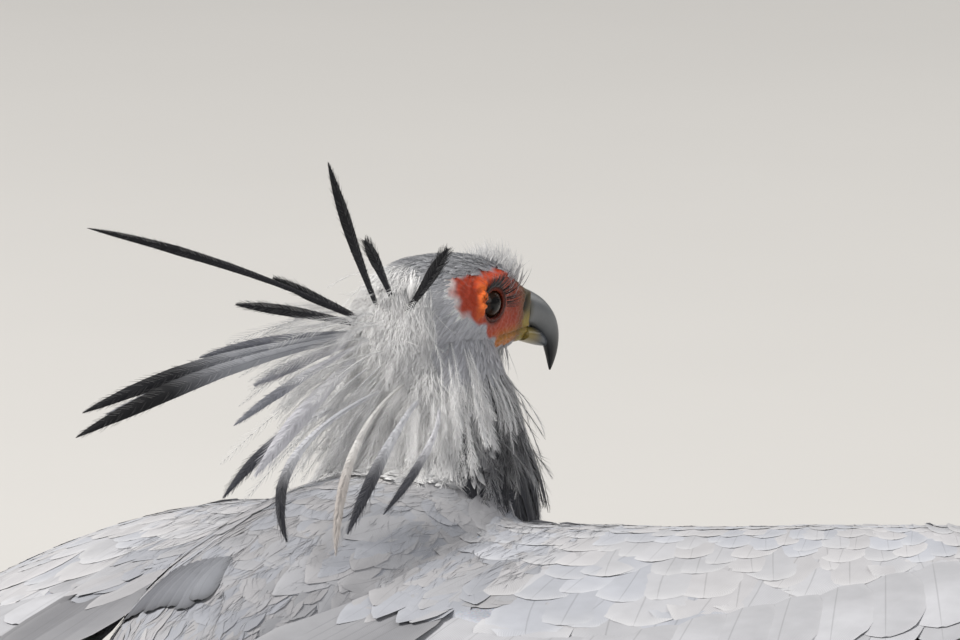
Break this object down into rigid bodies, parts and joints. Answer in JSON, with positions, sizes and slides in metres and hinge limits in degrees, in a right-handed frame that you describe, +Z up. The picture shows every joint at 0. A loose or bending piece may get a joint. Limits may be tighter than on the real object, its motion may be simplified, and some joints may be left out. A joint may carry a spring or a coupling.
{
  "type": "secretary bird",
  "caption": "Long-legged grey and black bird of prey resting on the ground, wings half spread, neck upright, head turned aside, long loose crest and long tail.",
  "frame": {"origin": "on the floor, in the middle of the flat under the belly", "axes": "+X forward along the body, +Y to the bird's left, +Z up"},
  "size_m": [1.1509, 1.7414, 0.3495],
  "materials": {
    "plumage_grey": "matt, pale bluish grey feathers with lighter edges",
    "plumage_pale": "matt, loose whitish grey feathers",
    "plumage_black": "matt with a faint sheen, black to dark grey feathers",
    "plumage_barred": "matt, grey tail feathers with a black band and white tips",
    "face_skin": "bare wrinkled orange-red skin, slightly waxy",
    "bill_horn": "smooth blue-grey horn, satin",
    "eye": "wet, glossy dark brown",
    "leg_scales": "pinkish brown scaly skin",
    "claw_horn": "dark horn, satin"
  },
  "bodies": {
    "root": {"torso": "plumage_grey", "neck": "plumage_pale", "crest": "plumage_black", "head": "face_skin", "bill_upper": "bill_horn", "bill_lower": "bill_horn", "eye_right": "eye", "eye_left": "eye", "wing_arm_right": "plumage_grey", "wing_arm_left": "plumage_grey", "wing_hand_right": "plumage_black", "wing_hand_left": "plumage_black", "tail": "plumage_barred", "thigh_right": "plumage_black", "thigh_left": "plumage_black", "tarsus_right": "leg_scales", "tarsus_left": "leg_scales", "foot_right": "leg_scales", "foot_left": "leg_scales", "claw_right_1": "claw_horn", "claw_right_2": "claw_horn", "claw_right_3": "claw_horn", "claw_right_4": "claw_horn", "claw_left_1": "claw_horn", "claw_left_2": "claw_horn", "claw_left_3": "claw_horn", "claw_left_4": "claw_horn"}
  },
  "joints": []
}
